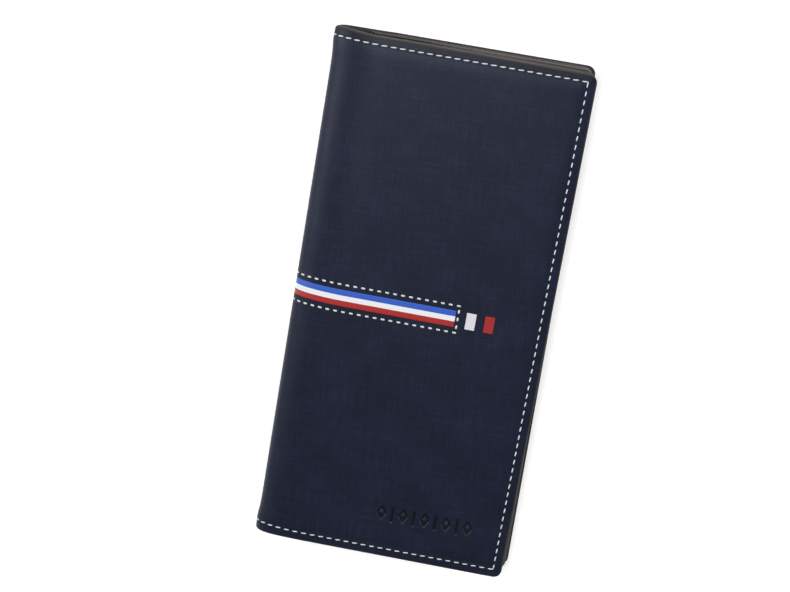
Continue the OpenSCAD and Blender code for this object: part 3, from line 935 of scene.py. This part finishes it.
bridge = cut_sheet("slider_bridge", bridge_xs, np.linspace(0, arch_length, 41))
co = points_of(bridge)
along = co[:, 1]
quarter = math.pi * arch_r / 2
turn_1 = np.clip((along - rise) / arch_r, 0, math.pi / 2)
turn_2 = np.clip((along - rise - quarter - span) / arch_r, 0, math.pi / 2)
flat_run = np.clip(along - rise - quarter, 0, span)
down = np.clip(along - rise - 2 * quarter - span, 0, None)
bridge_y = slider_y - 1.2 * mm + arch_r * (1 - np.cos(turn_1)) + flat_run + arch_r * np.sin(turn_2)
bridge_z = (top_plate_z + bite + np.clip(along, 0, rise) + arch_r * np.sin(turn_1)
            - arch_r * (1 - np.cos(turn_2)) - down)
set_points(bridge, np.stack([co[:, 0] + zip_x, bridge_y, bridge_z], 1))
thicken(bridge, 0.4 * mm, (nickel,), 40)
slider_parts.append(bridge)
slider = join("zip_slider_casting", slider_parts)
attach(slider, "zip_slider")
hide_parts("zip_slider")

puller_half = (puller_high.x - puller_low.x) / 2
eye_y, tip_y = puller_high.y - eye_r, puller_low.y + puller_half
neck_half = 1.15 * mm
neck_end = eye_y - 2.5 * mm
drop_long = 4.5 * mm
hole_r = 1.1 * mm


def puller_width(y):
    """Half width of the puller along its length: a round eye, a slim neck, a flat drop and a round tip."""
    eye = np.sqrt(np.clip(eye_r ** 2 - (y - eye_y) ** 2, 0, None))
    neck = np.where(y < eye_y, neck_half, 0)
    drop = neck_half + (puller_half - neck_half) * np.clip((neck_end - y) / drop_long, 0, 1) ** 1.2
    tip = np.sqrt(np.clip(puller_half ** 2 - np.clip(tip_y - y, 0, None) ** 2, 0, None))
    return np.maximum(eye, np.minimum(np.maximum(neck, np.where(y < neck_end, drop, 0)), tip))


puller_ys = lines((puller_low.y + 0.03 * mm, puller_low.y + 1.5 * mm, 0.12 * mm),
                  (puller_low.y + 1.5 * mm, puller_high.y - 1 * mm, 0.3 * mm),
                  (puller_high.y - 1 * mm, puller_high.y - 0.03 * mm, 0.12 * mm))
puller = cut_sheet("zip_puller_drop", np.linspace(-1, 1, 13), puller_ys)
co = points_of(puller)
set_points(puller, np.stack([zip_x + co[:, 0] * puller_width(co[:, 1]), co[:, 1],
                             np.full(len(co), puller_high.z)], 1))
thicken(puller, puller_high.z - puller_low.z, (nickel,), 40)
for hole_y in (eye_y, tip_y):
    punch = add_primitive("punch", bpy.ops.mesh.primitive_cylinder_add, vertices=32, radius=hole_r,
                          depth=3 * mm, location=(zip_x, hole_y, puller_high.z))
    cut = puller.modifiers.new("hole", "BOOLEAN")
    cut.operation = "DIFFERENCE"
    cut.solver = "EXACT"
    cut.object = punch
    apply_modifiers(puller)
    bpy.data.objects.remove(punch)
round_edges(puller, 0.1 * mm, 2, 50)
select_only(puller)
bpy.ops.object.shade_smooth_by_angle(angle=math.radians(40))
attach(puller, "zip_puller")
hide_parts("zip_puller")

# --------------------
# Ribbon. Woven satin ribbon in three stripes, let into a shallow recess in the leather. It runs from
# the front cover round the fold on to the back cover, boxed in by a row of thicker white stitches.
ribbon_cloth, ribbon_tree, ribbon_sockets = finish_of("striped satin ribbon", 0.42, Sheen_Weight=0.15)
ribbon_place = add(ribbon_tree, "ShaderNodeUVMap", uv_map="flat")
across = add(ribbon_tree, "ShaderNodeSeparateXYZ", {"Vector": ribbon_place}, out="Y")
position = add(ribbon_tree, "ShaderNodeMapRange", {"Value": across, "From Min": -ribbon_half,
                                                   "From Max": ribbon_half})
stripes = add(ribbon_tree, "ShaderNodeValToRGB", {"Fac": position},
              stops=((0.0, "#a81f1c"), (0.345, "#ececf0"), (0.655, "#2558c0")))
stripes.node.color_ramp.interpolation = "CONSTANT"
in_mm = add(ribbon_tree, "ShaderNodeMapping", {"Vector": ribbon_place, "Scale": (1 / mm, 1 / mm, 1)})
ribs = add(ribbon_tree, "ShaderNodeTexWave", {"Vector": in_mm, "Scale": 0.9, "Distortion": 0.2}, out="Fac")
add(ribbon_tree, "ShaderNodeMix", {"Factor": 0.06, "A": stripes, "B": ribs}, out="Result",
    data_type="RGBA", blend_type="MULTIPLY", to=ribbon_sockets["Base Color"])
add(ribbon_tree, "ShaderNodeBump", {"Strength": 0.2, "Distance": 0.05 * mm, "Height": ribs},
    to=ribbon_sockets["Normal"])

box_thread = 0.7 * mm
box_len = 1.5 * mm
box_pitch = 2.85 * mm
box_y = ribbon_half + 1.9 * mm
box_stitch = one_stitch(box_len, box_thread)
selvedge = 0.3 * mm
for side, half in half_name.items():
    end = ribbon_ends[side]
    xs = lines(*fold_runs(0.3 * mm, 1 * mm), (roll_x, end - selvedge, 3 * mm),
               (end - selvedge, end, 0.1 * mm))
    ys = lines((-ribbon_half, -ribbon_half + selvedge, 0.1 * mm), (-ribbon_half, ribbon_half, 0.75 * mm),
               (ribbon_half - selvedge, ribbon_half, 0.1 * mm))

    def ribbon_height(x, y, end=end):
        gap = np.minimum(end - x, ribbon_half - np.abs(y))
        return edge_drop(gap, 0.03 * mm, 0.5 * mm, 0.08 * mm) - 0.03 * mm

    ribbon = cut_sheet(f"{half}_striped_ribbon", xs, ys, ribbon_height)
    set_points(ribbon, wrap(points_of(ribbon), side))
    if side < 0:
        edit_whole(ribbon, bpy.ops.mesh.flip_normals)
    thicken(ribbon, 0.26 * mm, (ribbon_cloth,), 60)
    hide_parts(*(["front_ribbon", "spine_ribbon"] if side > 0 else ["back_ribbon"]))
    bend_at_crease(ribbon, side)

    corner_x = end + 0.9 * mm + box_thread / 2
    places = [(x, y, 0) for y in (-box_y, box_y)
              for x in row_of_stitches(corner_x, fold_x, box_len, box_pitch, True)]
    places += [(corner_x - box_thread / 2, y, math.pi / 2) for y in (-box_pitch, 0, box_pitch)]

    # The back's stitches are pressed nearly flush, so that the wallet lies level.
    sink = 0 if side > 0 else -0.24 * mm
    box = place_many(f"{half}_ribbon_box_stitches", places, box_stitch,
                     lambda flat: wrap(flat + [0, 0, sink], side))
    if side > 0:
        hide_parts("ribbon_stitching")
    bend_at_crease(box, side)

# --------------------
# Patches. Two small labels cut from woven tape, one white and one red, glued into shallow recesses in
# the front cover past the ribbon's end.
for name, light, dark in (("white_tab", "#e9e9ec", "#cfcfd4"), ("red_tab", "#b0201e", "#92191a")):
    low, high = tabs[name]
    xs, ys = [lines((a, a + 0.2 * mm, 0.1 * mm), (a, b, 0.8 * mm), (b - 0.2 * mm, b, 0.1 * mm))
              for a, b in ((low.x, high.x), (low.y, high.y))]

    def patch_height(x, y):
        return edge_drop(within(x, y, low, high), 0.02 * mm, 0.4 * mm, 0.06 * mm) + 0.02 * mm

    patch = cut_sheet(f"{name}_patch", xs, ys, patch_height)
    set_points(patch, askew(points_of(patch) + [0, 0, thick], 1))
    cloth = twill(f"{name.split('_')[0]} woven label", dark, light, 0.55 * mm)
    thicken(patch, 0.15 * mm, (cloth,))
    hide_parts(name)
    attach(patch, "front_half")

# --------------------
# Studio. A pale floor that the wallet lies on, a soft lamp above it and one on each of its four sides,
# and a camera that looks down on it.
view_width, view_focus = 790, 2200
sensor_width = 36
turn_x, turn_y, turn_z = math.radians(15.81), math.radians(-1.69), math.radians(-9.79)
shift_x, shift_y, away = 9.776 * mm, -1.899 * mm, 780.857 * mm
look = Matrix.Rotation(turn_z, 3, "Z") @ Matrix.Rotation(turn_x, 3, "X") @ Matrix.Rotation(turn_y, 3, "Y")
camera = bpy.data.objects.new("camera", bpy.data.cameras.new("camera"))
bpy.context.scene.collection.objects.link(camera)
camera.data.sensor_width = sensor_width
camera.data.lens = sensor_width * view_focus / view_width
camera.data.clip_start = 0.01
camera.matrix_world = Matrix.LocRotScale(look.transposed() @ Vector((-shift_x, -shift_y, away)),
                                         look.transposed().to_quaternion(), None)
bpy.context.scene.camera = camera

floor = add_primitive("floor", bpy.ops.mesh.primitive_plane_add, size=6, location=(0, 0, -0.1 * mm))
sweep = finish_of("white sweep", 0.7, Base_Color=(0.9, 0.9, 0.9, 1), Emission_Color=(1, 1, 1, 1),
                  Emission_Strength=0.4)[0]
floor.data.materials.append(sweep)

world = bpy.data.worlds.new("studio")
bpy.context.scene.world = world
world.use_nodes = True
sky = world.node_tree.nodes["Background"].inputs
sky["Color"].default_value = (1, 1, 1, 1)
sky["Strength"].default_value = 0.1

for name, place, size, power in (("overhead", (-0.16, 0.17, 0.9), 0.3, 3.0),
                                 ("near_bank", (0.1, -1.1, 0.6), 0.6, 1.2),
                                 ("far_bank", (0.1, 1.1, 0.6), 0.6, 5),
                                 ("left_bank", (-1.1, 0.1, 0.6), 0.6, 7),
                                 ("right_bank", (1.1, 0.2, 0.6), 0.6, 8)):
    light = bpy.data.lights.new(name, "AREA")
    light.size = size
    light.energy = power
    lamp = bpy.data.objects.new(name, light)
    lamp.location = place
    lamp.rotation_euler = Vector(place).to_track_quat("Z", "Y").to_euler()
    bpy.context.scene.collection.objects.link(lamp)

bpy.context.scene.view_settings.view_transform = "Standard"
